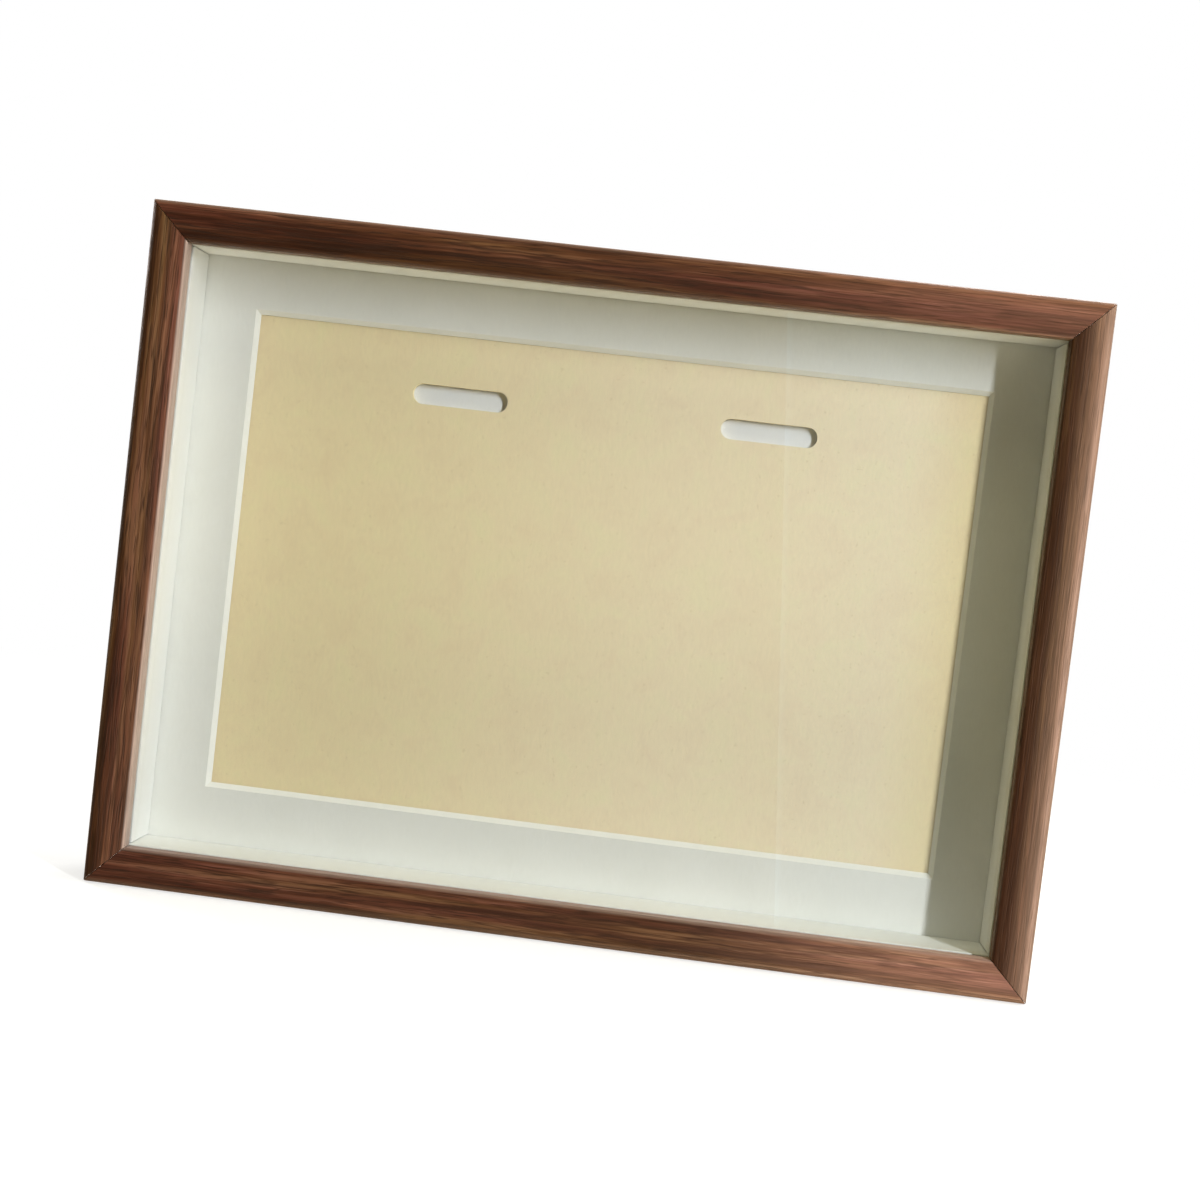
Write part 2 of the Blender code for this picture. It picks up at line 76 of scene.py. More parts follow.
# Rounds of the moulding
SHOULDER_ROUND = 3.7 * MM
CROWN_START = 3.4 * MM
FACE_SLOPE = math.radians(20)
INNER_ROUND = 1.2 * MM
BACK_EASE = 0.35 * MM
MITRE_EASE = 0.14 * MM
CROWN_SLACK = 0.1 * MM

# Length sawn off with the mitres, and the room around what is driven into a rail
SAWN_LENGTH = 4 * SHOULDER_ROUND
DRIVEN_GAP = 0.9 * FIT_GAP

# Painted sheen: how much lighter the front is painted towards the right, in place of the varnish's sheen
# there, and where along X and Y
PAINTED_SHEEN_GAIN = (2.6, 3.2, 3.7)
PAINTED_SHEEN_WOOD = (0.36, 0.20, 0.135)
SHEEN_PAINT_START = 30 * MM
SHEEN_PAINT_FULL = 140 * MM
FRONT_START = -6 * MM
FRONT_FULL = -14 * MM

# Painted shade on a rail's inner half, and painted highlights on its sight edge and outer edge
PAINTED_SHADE_TINT = (0.45, 0.40, 0.36)
SIGHT_EDGE_HIGHLIGHT = (0.43, 0.33, 0.28)
OUTER_EDGE_HIGHLIGHT = (0.42, 0.28, 0.20)
SHADE_PAINT_START = 4.5 * MM
SHADE_PAINT_FULL = 9.5 * MM
SIGHT_EDGE_START = 1.1 * MM
SIGHT_EDGE_FULL = 0.3 * MM

# Per rail: start along the grain, tone, painted sheen, painted shade, painted sight-edge highlight, painted
# outer-edge highlight and its width
STAINS_AND_PAINTED_LIGHT = {
    "bottom": (0.0, (1.05, 0.94, 0.99), 0.92, 0.0, 0.34, 0.32, 3 * MM),
    "top": (0.7, (1.0, 0.86, 0.80), 0.62, 0.6, 0.12, 0.40, 1.8 * MM),
    "left": (1.9, (1.08, 1.06, 0.96), 1.0, 0.0, 0.85, 0.0, 1 * MM),
    "right": (3.1, (0.50, 0.42, 0.36), 1.0, 1.0, 0.0, 0.44, 11 * MM),
}

# Where the card is paler, from left to right, and by how much
PALE_START = -105 * MM
PALE_FULL = 55 * MM
PALE_FALL = 98 * MM
PALE_END = 128 * MM
PALE_CARD = (1.060, 1.085, 1.27)

# Mat, card and ribbon slots
PAPER_EDGE = 0.12 * MM
WINDOW_MARGIN = 0.2 * MM
SLOT_HALF_LENGTH = 16.5 * MM
SLOT_HALF_HEIGHT = 3.5 * MM
SLOT_CUT_SLACK = 1.9 * MM
SLOT_ROUND_SHARE = 0.999
SLOT_ROUND_STEPS = 14

# Turn buttons
BUTTON_TIP = 3 * MM
BUTTON_PLATE = 1 * MM
BUTTON_BORE = 1.7 * MM
BUTTON_EASE = 0.28 * MM
RIB_WIDTH = 2.4 * MM
RIB_ROUND = 0.55 * MM
RIB_START = 4.6 * MM
RIB_END_GAP = 0.2 * MM
RIB_SINK = 0.5 * MM
RIB_STEPS = 16
SMOOTH_SIDES = 48

# Screws
SCREW_HEAD = 1.9 * MM
SCREW_RIM = 0.8 * MM
SCREW_EASE = 0.15 * MM
SCREW_SHANK = 1.4 * MM
SCREW_POINT = 3 * MM
SCREW_TWIST = 0.6
SCREW_DOME_STEPS = 12
RECESS_SPAN = 3.2 * MM
RECESS_WIDTH = 0.8 * MM
RECESS_DEPTH = 1.1 * MM
RECESS_TAPER = 0.6

# Sawtooth hanger
TOOTH_PITCH = 2.6 * MM
TOOTH_DEPTH = 1.7 * MM
TOOTH_STEPS = 8
HANGER_TAB = 9 * MM
HANGER_RAMP = 3 * MM
HANGER_CHAMFER = 1.2 * MM
HANGER_EASE = 0.14 * MM
PLATE_THICKNESS = 0.8 * MM

# Nails of the hanger
NAIL_HEAD = 0.8 * MM
NAIL_RIM = 0.35 * MM
NAIL_DOME = 0.45 * MM
NAIL_DOME_STEPS = 8
NAIL_EASE = 0.1 * MM
NAIL_SHANK = 0.75 * MM
NAIL_POINT = 2 * MM

# Stage
ROOM_COLOUR = (1.0, 0.86, 0.25, 1)
ROOM_STRENGTH = 0.05
FLOOR_COLOUR = (0.10, 0.080, 0.020, 1)
FLOOR_SHADE = 0.45
FLOOR_GLOW_NEAR = 0.65
FLOOR_GLOW_GAIN = 0.35
FLOOR_HALF_SIZE = 8
FLOOR_DROP = 0.2 * MM
FLOOR_SHADE_NEAR = 0.22
FLOOR_SHADE_FAR = 0.75
LAMP_TARGET = Vector((0, 0, (CAD_BOX[0].z + CAD_BOX[1].z) / 2))
VEIL_LEAN = 6
VEIL_STOPS = (
    (0.0, 0.75), (0.012, 0.65), (0.03, 0.30), (0.35, 0.55), (0.60, 0.55), (0.74, 0.25), (0.88, 0.0),
)
CAMERA_SENSOR = 36
CAMERA_LENS = 51.103
CAMERA_PLACE = (0.03453, -0.57336, 0.14087)
CAMERA_TURN = (87.302, -6.714, 3.438)

BUTTON_PLACES = ("top_left", "top_right", "bottom_left", "bottom_right", "left", "right")
CORNERS = ("top_left", "top_right", "bottom_left", "bottom_right")


# Shader helpers

def connect(tree, socket, value):
    """Feed an input from another node's output, or set its plain value."""
    if isinstance(value, bpy.types.NodeSocket):
        tree.links.new(value, socket)
    else:
        socket.default_value = value


def add(tree, kind, inputs=None, **settings):
    """A shader node with its settings and inputs."""
    node = tree.nodes.new("ShaderNode" + kind)
    for key, value in settings.items():
        setattr(node, key, value)
    for key, value in (inputs or {}).items():
        connect(tree, node.inputs[key], value)
    return node


def new_finish(name, roughness, metallic=0.0, specular=0.5):
    """A material with one Principled shader."""
    material = bpy.data.materials.new(name)
    material.use_nodes = True
    tree = material.node_tree
    shader = tree.nodes["Principled BSDF"]
    shader.inputs["Roughness"].default_value = roughness
    shader.inputs["Metallic"].default_value = metallic
    shader.inputs["Specular IOR Level"].default_value = specular
    return material, tree, shader


def pattern_space(tree, scale=(1, 1, 1), rotation=(0, 0, 0)):
    """Object coordinates, stretched and turned for a pattern."""
    coordinates = add(tree, "TexCoord")
    mapping = add(tree, "Mapping", {
        "Vector": coordinates.outputs["Object"], "Rotation": rotation, "Scale": scale,
    })
    return mapping.outputs["Vector"]


def noise(tree, vector, scale, detail=2.0, roughness=0.5, distortion=0.0):
    """Soft random value from 0 to 1."""
    node = add(tree, "TexNoise", {
        "Vector": vector, "Scale": scale, "Detail": detail,
        "Roughness": roughness, "Distortion": distortion,
    })
    return node.outputs["Fac"]


def ramp(tree, share, stops):
    """Colours, or grey levels, placed along a value."""
    node = add(tree, "ValToRGB", {"Fac": share})
    elements = node.color_ramp.elements
    while len(elements) < len(stops):
        elements.new(0.5)
    for element, (position, colour) in zip(elements, stops):
        element.position = position
        element.color = (*colour, 1) if isinstance(colour, tuple) else (colour, colour, colour, 1)
    return node.outputs["Color"]


def mix_colours(tree, share, first, second, blend='MIX'):
    """Blend of two colours."""
    node = tree.nodes.new("ShaderNodeMix")
    node.data_type = 'RGBA'
    node.blend_type = blend
    for socket, value in zip((node.inputs[0], node.inputs[6], node.inputs[7]), (share, first, second)):
        connect(tree, socket, (*value, 1) if isinstance(value, tuple) else value)
    return node.outputs[2]


def maths(tree, operation, first, second=0.0, clamp=False):
    """One sum on two values."""
    node = tree.nodes.new("ShaderNodeMath")
    node.operation = operation
    node.use_clamp = clamp
    connect(tree, node.inputs[0], first)
    connect(tree, node.inputs[1], second)
    return node.outputs[0]


def share_between(tree, value, start, full, interpolation='SMOOTHSTEP'):
    """Share from 0 to 1 while a value goes from a start to where the share is full."""
    node = add(tree, "MapRange", {
        "Value": value, "From Min": start, "From Max": full,
    }, interpolation_type=interpolation)
    return node.outputs["Result"]


def bump(tree, shader, height, distance, strength):
    """Raise and sink the surface by a pattern."""
    node = add(tree, "Bump", {"Height": height, "Distance": distance, "Strength": strength})
    tree.links.new(node.outputs["Normal"], shader.inputs["Normal"])


# Finishes

def make_walnut(name, place, turn, along, tone, painted_sheen, painted_shade, sight_highlight_share, outer_highlight_share, outer_highlight_width):
    """Stained open-grain wood under satin varnish, its grain along one rail, with painted sheen towards the
    right of its front, painted shade on its inner half and painted highlights on its edges.
    """
    material, tree, shader = new_finish(name, 0.45, specular=0.6)
    shader.inputs["Specular Tint"].default_value = (1.0, 0.66, 0.50, 1)
    shader.inputs["Sheen Weight"].default_value = 0.4
    shader.inputs["Sheen Roughness"].default_value = 0.3
    shader.inputs["Sheen Tint"].default_value = (1.0, 0.78, 0.68, 1)
    placed = add(tree, "TexCoord").outputs["Object"]
    local = add(tree, "Mapping", {
        "Vector": placed, "Location": place, "Rotation": (0, turn, 0),
    }, vector_type='TEXTURE').outputs["Vector"]

    def grain_space(stretch, across=1.0, tilt=0.0):
        return add(tree, "Mapping", {
            "Vector": local, "Location": (along, along, along),
            "Rotation": (0, tilt, tilt / 2), "Scale": (stretch, across, across),
        }).outputs["Vector"]

    def bend(space, vector, amount):
        wave = add(tree, "TexNoise", {"Vector": vector, "Scale": 300.0, "Detail": 2.0})
        return add(tree, "VectorMath", {
            0: wave.outputs["Color"], 1: (0, amount, amount), 2: space,
        }, operation='MULTIPLY_ADD').outputs["Vector"]

    long_bands = bend(grain_space(0.03, tilt=0.05), grain_space(0.06, 0.20), 1.6 * MM)
    wavy = bend(long_bands, grain_space(0.22, 0.35), 0.7 * MM)
    bands = noise(tree, wavy, 380.0, 4.0, 0.62)
    hue = noise(tree, long_bands, 190.0, 2.0)
    swirls = noise(tree, wavy, 420.0, 2.0, 0.5)
    lines = maths(tree, 'ABSOLUTE', maths(tree, 'SUBTRACT', swirls, 0.5))
    veins = ramp(tree, lines, ((0.0, 1.0), (0.040, 0.0)))
    fibres = noise(tree, grain_space(0.03), 1700.0, 3.0, 0.65)
    pores = ramp(tree, noise(tree, grain_space(0.05), 1700.0, 1.0), ((0.56, 0.0), (0.66, 1.0)))

    def fibrous(shade, low, high):
        streaks = ramp(tree, fibres, ((0.33, low), (0.67, high)))
        return mix_colours(tree, 1.0, shade, streaks, 'MULTIPLY')

    colour = ramp(tree, bands, (
        (0.38, (0.044, 0.0165, 0.0078)),
        (0.46, (0.080, 0.0310, 0.0145)),
        (0.54, (0.120, 0.0490, 0.0245)),
        (0.62, (0.195, 0.0910, 0.0530)),
    ))
    tints = ramp(tree, hue, ((0.36, (1.08, 0.86, 1.10)), (0.64, (0.94, 1.06, 0.80))))
    colour = mix_colours(tree, 1.0, colour, tints, 'MULTIPLY')
    colour = fibrous(colour, 0.80, 1.20)
    colour = mix_colours(tree, maths(tree, 'MULTIPLY', veins, 0.70), colour, (0.026, 0.0095, 0.0045))
    colour = mix_colours(tree, maths(tree, 'MULTIPLY', pores, 0.62), colour, (0.020, 0.0080, 0.0040))
    # Painted sheen: the front is painted lighter towards the right, in place of the varnish's sheen there
    spot = add(tree, "SeparateXYZ", {"Vector": placed})
    towards_right = share_between(tree, spot.outputs["X"], SHEEN_PAINT_START, SHEEN_PAINT_FULL)
    towards_front = share_between(tree, spot.outputs["Y"], FRONT_START, FRONT_FULL)
    sheen_share = maths(tree, 'MULTIPLY', maths(tree, 'MULTIPLY', towards_right, towards_front), painted_sheen)
    lighter = mix_colours(tree, 1.0, colour, PAINTED_SHEEN_GAIN, 'MULTIPLY')
    lighter = mix_colours(tree, 0.45, lighter, fibrous(PAINTED_SHEEN_WOOD, 0.55, 1.45))
    colour = mix_colours(tree, sheen_share, colour, lighter)
    colour = mix_colours(tree, 1.0, colour, tone, 'MULTIPLY')
    inward = add(tree, "SeparateXYZ", {"Vector": local}).outputs["Z"]
    face_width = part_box("rail_bottom")[1].z
    # Painted shade: the inner half of a rail is darkened where it faces away from the light
    inner_half = share_between(tree, inward, SHADE_PAINT_START, SHADE_PAINT_FULL)
    shade_painted = mix_colours(tree, 1.0, colour, PAINTED_SHADE_TINT, 'MULTIPLY')
    colour = mix_colours(tree, maths(tree, 'MULTIPLY', inner_half, painted_shade), colour, shade_painted)
    # Painted highlight: the sight edge is painted paler where it faces the light
    sight_edge = share_between(
        tree, inward, face_width - SIGHT_EDGE_START, face_width - SIGHT_EDGE_FULL, 'LINEAR',
    )
    sight_highlight = fibrous(SIGHT_EDGE_HIGHLIGHT, 0.80, 1.15)
    colour = mix_colours(tree, maths(tree, 'MULTIPLY', sight_edge, sight_highlight_share), colour, sight_highlight)
    # Painted highlight: the front of the outer edge is painted paler where it faces the light
    outer_edge = share_between(tree, inward, outer_highlight_width, 0.0)
    outer_edge = maths(tree, 'MULTIPLY', outer_edge, towards_front)
    outer_highlight = fibrous(OUTER_EDGE_HIGHLIGHT, 0.80, 1.15)
    colour = mix_colours(tree, maths(tree, 'MULTIPLY', outer_edge, outer_highlight_share), colour, outer_highlight)
    connect(tree, shader.inputs["Base Color"], colour)
    satin = ramp(tree, fibres, ((0.2, 0.50), (0.8, 0.38)))
    open_grain = maths(tree, 'MULTIPLY', maths(tree, 'MAXIMUM', veins, pores), 0.3)
    connect(tree, shader.inputs["Roughness"], maths(tree, 'ADD', satin, open_grain, clamp=True))
    height = maths(tree, 'SUBTRACT', maths(tree, 'MULTIPLY', fibres, 0.5), pores)
    height = maths(tree, 'SUBTRACT', height, maths(tree, 'MULTIPLY', veins, 0.6))
    bump(tree, shader, height, 0.10 * MM, 0.5)
    return material


def make_glass():
    """Clear float glass with a faint green cast, which lets the lamps through."""
    material, tree, shader = new_finish("clear_float_glass", 0.0)
    smears = noise(tree, pattern_space(tree, (1, 1, 0.5)), 14.0, 3.0, 0.6)
    connect(tree, shader.inputs["Base Color"], ramp(tree, smears, (
        (0.3, (0.958, 0.963, 0.955)), (0.7, (0.972, 0.976, 0.970)),
    )))
    shader.inputs["Transmission Weight"].default_value = 1.0
    shader.inputs["IOR"].default_value = 1.4
    path = add(tree, "LightPath")
    clear = add(tree, "BsdfTransparent", {"Color": (0.972, 0.977, 0.970, 1)})
    bounced = add(tree, "MixShader", {0: path.outputs["Is Diffuse Ray"]})
    tree.links.new(shader.outputs[0], bounced.inputs[1])
    tree.links.new(clear.outputs[0], bounced.inputs[2])
    lit = add(tree, "MixShader", {0: path.outputs["Is Shadow Ray"]})
    tree.links.new(bounced.outputs[0], lit.inputs[1])
    tree.links.new(clear.outputs[0], lit.inputs[2])
    tree.links.new(lit.outputs[0], tree.nodes["Material Output"].inputs["Surface"])
    return material


def make_paper(name, pale, dull, tooth, roughness=0.9, specular=0.1):
    """Paper or board: faint clouds, fibres and a fine tooth."""
    material, tree, shader = new_finish(name, roughness, specular=specular)
    space = pattern_space(tree)
    clouds = noise(tree, space, 45.0, 4.0, 0.6)
    fibres = noise(tree, pattern_space(tree, (1, 1, 0.3), (0.4, 0.7, 0.2)), 1400.0, 3.0, 0.7)
    colour = ramp(tree, clouds, ((0.3, dull), (0.7, pale)))
    colour = mix_colours(tree, 0.5, colour, ramp(tree, fibres, ((0.3, 0.95), (0.7, 1.03))), 'MULTIPLY')
    connect(tree, shader.inputs["Base Color"], colour)
    bump(tree, shader, maths(tree, 'ADD', fibres, noise(tree, space, 2600.0, 2.0)), tooth, 0.25)
    return material


def make_cream_card():
    """Cream card, mottled warm and greenish like pressed pulp, and paler towards the right."""
    material, tree, shader = new_finish("cream_pulp_card", 0.88, specular=0.1)
    space = pattern_space(tree)
    blotches = noise(tree, space, 70.0, 5.0, 0.62, 0.6)
    colour = ramp(tree, blotches, (
        (0.30, (0.848, 0.700, 0.434)), (0.50, (0.868, 0.734, 0.452)), (0.70, (0.858, 0.752, 0.448)),
    ))
    # Paler towards the right, and back to its own colour just inside the right edge
    across = add(tree, "SeparateXYZ", {"Vector": space}).outputs["X"]
    rising = share_between(tree, across, PALE_START, PALE_FULL)
    falling = share_between(tree, across, PALE_END, PALE_FALL)
    paler_card = mix_colours(tree, 1.0, colour, PALE_CARD, 'MULTIPLY')
    colour = mix_colours(tree, maths(tree, 'MULTIPLY', rising, falling), colour, paler_card)
    fibres = noise(tree, pattern_space(tree, (1, 1, 0.35), (0.2, 0.9, 0.5)), 1100.0, 4.0, 0.7)
    colour = mix_colours(tree, 0.5, colour, ramp(tree, fibres, ((0.3, 0.93), (0.7, 1.05))), 'MULTIPLY')
    flecks = ramp(tree, noise(tree, space, 900.0, 1.0), ((0.70, 0.0), (0.76, 1.0)))
    colour = mix_colours(tree, maths(tree, 'MULTIPLY', flecks, 0.25), colour, (0.60, 0.47, 0.25))
    connect(tree, shader.inputs["Base Color"], colour)
    bump(tree, shader, fibres, 0.06 * MM, 0.4)
    return material


def make_hardboard():
    """Pressed wood fibre: brown, speckled and slightly shiny from the press."""
    material, tree, shader = new_finish("pressed_hardboard", 0.62, specular=0.35)
    space = pattern_space(tree)
    clouds = noise(tree, space, 28.0, 5.0, 0.6)
    placed = add(tree, "TexCoord").outputs["Object"]
    fibres = 0.0
    for turn in (0.3, 0.95, 1.7, 2.5):
        laid = add(tree, "Mapping", {
            "Vector": placed, "Location": (turn, 0, 0), "Rotation": (0, turn, 0), "Scale": (7, 1, 1),
        }, vector_type='TEXTURE').outputs["Vector"]
        fibres = maths(tree, 'MAXIMUM', fibres, noise(tree, laid, 1300.0, 3.0, 0.6, 0.8))
    colour = ramp(tree, clouds, ((0.3, (0.205, 0.115, 0.058)), (0.7, (0.275, 0.165, 0.090))))
    colour = mix_colours(tree, 0.8, colour, ramp(tree, fibres, ((0.46, 0.66), (0.76, 1.40))), 'MULTIPLY')
    specks = ramp(tree, noise(tree, space, 1300.0, 1.0), ((0.68, 0.0), (0.74, 1.0)))
    colour = mix_colours(tree, maths(tree, 'MULTIPLY', specks, 0.6), colour, (0.070, 0.036, 0.018))
    connect(tree, shader.inputs["Base Color"], colour)
    connect(tree, shader.inputs["Roughness"], ramp(tree, fibres, ((0.3, 0.72), (0.7, 0.52))))
    bump(tree, shader, fibres, 0.10 * MM, 0.45)
    return material


def make_plated_steel(name, bright, dull, roughness, spangle):
    """Plated steel: cloudy crystals, fine drawn scratches and duller patches."""
    material, tree, shader = new_finish(name, roughness, metallic=1.0)
    space = pattern_space(tree)
    crystals = add(tree, "TexVoronoi", {"Vector": space, "Scale": spangle}, feature='F1')
    tint = maths(tree, 'MULTIPLY', crystals.outputs["Distance"], 1.2)
    patches = noise(tree, space, 260.0, 4.0, 0.65)
    scratches = noise(tree, pattern_space(tree, (0.06, 1, 1), (0, 0.25, 0)), 3800.0, 2.0, 0.6)
    cloud = maths(tree, 'ADD', maths(tree, 'MULTIPLY', patches, 0.7), maths(tree, 'MULTIPLY', tint, 0.4))
    colour = ramp(tree, cloud, ((0.25, dull), (0.75, bright)))
    connect(tree, shader.inputs["Base Color"], colour)
    worn = maths(tree, 'MULTIPLY', scratches, 0.16)
    wear = maths(tree, 'ADD', maths(tree, 'MULTIPLY', patches, 0.22), worn)
    connect(tree, shader.inputs["Roughness"], maths(tree, 'ADD', wear, roughness - 0.19))
    bump(tree, shader, scratches, 0.015 * MM, 0.35)
    return material


# Mesh helpers

def ease(bm, edges, offset, segments):
    """Round edges over."""
    bmesh.ops.bevel(
        bm, geom=edges, offset=offset, offset_type='OFFSET', segments=segments,
        profile=0.5, affect='EDGES', material=-1, clamp_overlap=True,
    )


def prism(bm, start, move):
    """Closed solid from an outline to the same outline moved away; gives the first outline's corners."""
    near = [bm.verts.new(point) for point in start]
    far = [bm.verts.new(Vector(point) + move) for point in start]
    bm.faces.new(near)
    bm.faces.new(far[::-1])
    for index in range(len(start)):
        bm.faces.new((near[index - 1], far[index - 1], far[index], near[index]))
    bmesh.ops.recalc_face_normals(bm, faces=bm.faces)
    return near


def extrude_flat(bm, outline, y_front, y_back):
    """Closed plate with an XZ outline between two depths."""
    prism(bm, [(x, y_front, z) for x, z in outline], Vector((0, y_back - y_front, 0)))


def box_between(bm, low, high):
    """Block between two corners."""
    made = bmesh.ops.create_cube(bm, size=1)
    bmesh.ops.scale(bm, verts=made["verts"], vec=high - low)
    bmesh.ops.translate(bm, verts=made["verts"], vec=(high + low) / 2)
    return made["verts"]


def turned(bm, profile):
    """Solid of revolution about Y from (radius, y) points that start and end on the axis."""
    turns = [2 * math.pi * step / SMOOTH_SIDES for step in range(SMOOTH_SIDES)]
    rings = []
    for radius, y in profile:
        if radius < MERGE:
            rings.append([bm.verts.new((0, y, 0))] * SMOOTH_SIDES)
        else:
            rings.append([bm.verts.new((radius * math.cos(a), y, -radius * math.sin(a))) for a in turns])
    for upper, lower in zip(rings, rings[1:]):
        for step in range(SMOOTH_SIDES):
            corners = (upper[step - 1], upper[step], lower[step], lower[step - 1])
            bm.faces.new(list(dict.fromkeys(corners)))
    bmesh.ops.recalc_face_normals(bm, faces=bm.faces)


def arc(centre, radius, start, end, steps):
    """Points of a circular arc in a plane."""
    angles = [start + (end - start) * step / steps for step in range(steps + 1)]
    return [(centre[0] + radius * math.cos(a), centre[1] + radius * math.sin(a)) for a in angles]


def dome(radius, base, height, steps):
    """Quarter of an oval as (radius, y) points, from the top on the axis down to the rim."""
    angles = [math.pi / 2 * step / steps for step in range(steps + 1)]
    return [(radius * math.sin(a), base + height * math.cos(a)) for a in angles]


def mesh_object(name, bm):
    """Scene object at the origin that holds a bmesh, its points and faces in order of place."""
    bmesh.ops.recalc_face_normals(bm, faces=bm.faces)
    bm.verts.sort(key=lambda vert: vert.co.dot(ORDER))
    bm.edges.sort(key=lambda edge: (edge.verts[0].co + edge.verts[1].co).dot(ORDER))
    bm.faces.sort(key=lambda face: face.calc_center_median().dot(ORDER))
    mesh = bpy.data.meshes.new(name)
    bm.to_mesh(mesh)
    bm.free()
    piece = bpy.data.objects.new(name, mesh)
    bpy.context.scene.collection.objects.link(piece)
    return piece


def combine(piece, tool_bm, operation='DIFFERENCE'):
    """Cut a shape from a piece, or join it on, and keep only the result."""
    tool = mesh_object(piece.name + "_tool", tool_bm)
    modifier = piece.modifiers.new("combine", 'BOOLEAN')
    modifier.operation = operation
    modifier.solver = 'EXACT'
    modifier.object = tool
    bpy.context.view_layer.update()
    evaluated = piece.evaluated_get(bpy.context.evaluated_depsgraph_get())
    result = bpy.data.meshes.new_from_object(evaluated)
    piece.modifiers.clear()
    old = piece.data
    piece.data = result
    bpy.data.meshes.remove(old)
    bpy.data.objects.remove(tool, do_unlink=True)


def finish_piece(piece, finishes, body, stands_for):
    """Smooth shading, finishes and the body that carries the piece."""
    mesh = piece.data
    mesh.name = piece.name
    mesh.shade_smooth()
    mesh.set_sharp_from_angle(angle=SHARP_ANGLE)
    shading = piece.modifiers.new("even_shading", 'WEIGHTED_NORMAL')
    shading.keep_sharp = True
    mesh.materials.clear()
    for finish in finishes:
        mesh.materials.append(finish)
    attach(piece, body)
    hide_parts(*stands_for)


def dress_node(name, finish):
    """Give a CAD node its finish."""
    mesh = frame["nodes"][name].data
    mesh.materials.clear()
    mesh.materials.append(finish)


def grown_copies(names, gap):
    """Shapes of CAD nodes, made larger all round, to cut their places into a piece."""
    bm = bmesh.new()
    for name in names:
        part = bmesh.new()
        part.from_mesh(frame["nodes"][name].data)
        bmesh.ops.remove_doubles(part, verts=part.verts, dist=MERGE)
        bmesh.ops.recalc_face_normals(part, faces=part.faces)
        part.normal_update()
        moves = [vert.normal * vert.calc_shell_factor() * gap for vert in part.verts]
        for vert, move in zip(part.verts, moves):
            vert.co += move
        holder = bpy.data.meshes.new(name + "_grown")
        part.to_mesh(holder)
        part.free()
        bm.from_mesh(holder)
        bpy.data.meshes.remove(holder)
    return bm


# Moulding

def section_corners():
    """Corners of the moulding's section as (y, inward), before its long edges are rounded."""
    low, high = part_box("rail_bottom")
    face_width = high.z - low.z
    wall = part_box("spacer_left")[0].x - FIT_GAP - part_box("rail_left")[0].x
    lip_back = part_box("glass_pane")[0].y - FIT_GAP
    face_end = face_width - INNER_ROUND * (1 - math.sin(FACE_SLOPE))
    crown = (CROWN_START + face_end) / 2
    fall = (face_width - crown) * math.tan(FACE_SLOPE)
    return {
        "outer_back": (high.y, 0.0),
        "shoulder": (low.y, 0.0),
        "crown": (low.y, crown),
        "inner": (low.y + fall, face_width),
        "lip": (lip_back, face_width),
        "rabbet": (lip_back, wall),
        "inner_back": (high.y, wall),
    }, crown


def moulding_length(length):
    """Straight moulding along X with its outer side on Z 0 and its long edges rounded."""
    corners, crown = section_corners()
    bm = bmesh.new()
    outline = [(-length / 2, y, z) for y, z in corners.values()]
    ends = dict(zip(corners, prism(bm, outline, Vector((length, 0, 0)))))
    inner_offset = INNER_ROUND * math.tan((math.pi / 2 - FACE_SLOPE) / 2)
    rounds = (
        ("shoulder", SHOULDER_ROUND, 12),
        ("inner", inner_offset, 8),
        ("crown", crown - SHOULDER_ROUND - CROWN_SLACK, 10),
        ("outer_back", BACK_EASE, 2),
        ("lip", BACK_EASE / 2, 2),
        ("inner_back", BACK_EASE, 2),
    )
    for name, offset, segments in rounds:
        long_edge = max(ends[name].link_edges, key=lambda edge: edge.calc_length())
        ease(bm, [long_edge], offset, segments)
    return bm


def saw_mitre(bm, length, side):
    """Saw one end at 45 degrees, close it and take off its arris."""
    normal = Vector((side, 0, 1)).normalized()
    point = Vector((side * length / 2, 0, 0)) - normal * MITRE_GAP / 2
    sawn = bmesh.ops.bisect_plane(
        bm, geom=bm.verts[:] + bm.edges[:] + bm.faces[:], dist=MERGE,
        plane_co=point, plane_no=normal, clear_outer=True,
    )
    rim = [item for item in sawn["geom_cut"] if isinstance(item, bmesh.types.BMEdge)]
    bmesh.ops.edgeloop_fill(bm, edges=rim)
    ease(bm, rim, MITRE_EASE, 2)


def make_rails():
    """Four mitred rails, each with its own run of grain, cut for the nails and screws in its back."""
    low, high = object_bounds()
    width = high.x - low.x
    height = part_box("rail_top")[1].z
    middle_z = height / 2
    rails = {
        "bottom": (width, (0, 0, 0), 0),
        "top": (width, (0, 0, height), math.pi),
        "left": (height, (-width / 2, 0, middle_z), math.pi / 2),
        "right": (height, (width / 2, 0, middle_z), -math.pi / 2),
    }
    for side, (length, place, turn) in rails.items():
        bm = moulding_length(length + SAWN_LENGTH)
        for end in (-1, 1):
            saw_mitre(bm, length, end)
        turning = Matrix.Translation(place) @ Matrix.Rotation(turn, 4, 'Y')
        bmesh.ops.transform(bm, matrix=turning, verts=bm.verts)
        piece = mesh_object(f"walnut_rail_{side}", bm)
        driven = [f"v_nail_{corner}" for corner in CORNERS if side in corner.split("_")]
        driven += [f"button_screw_{spot}" for spot in BUTTON_PLACES if spot.split("_")[0] == side]
        if side == "top":
            driven += ["hanger_nail_left", "hanger_nail_right"]
        combine(piece, grown_copies(driven, DRIVEN_GAP))
        finish = make_walnut(f"walnut_{side}", place, turn, *STAINS_AND_PAINTED_LIGHT[side])
        finish_piece(piece, [finish], "frame", [f"rail_{side}"])


# Mat and card

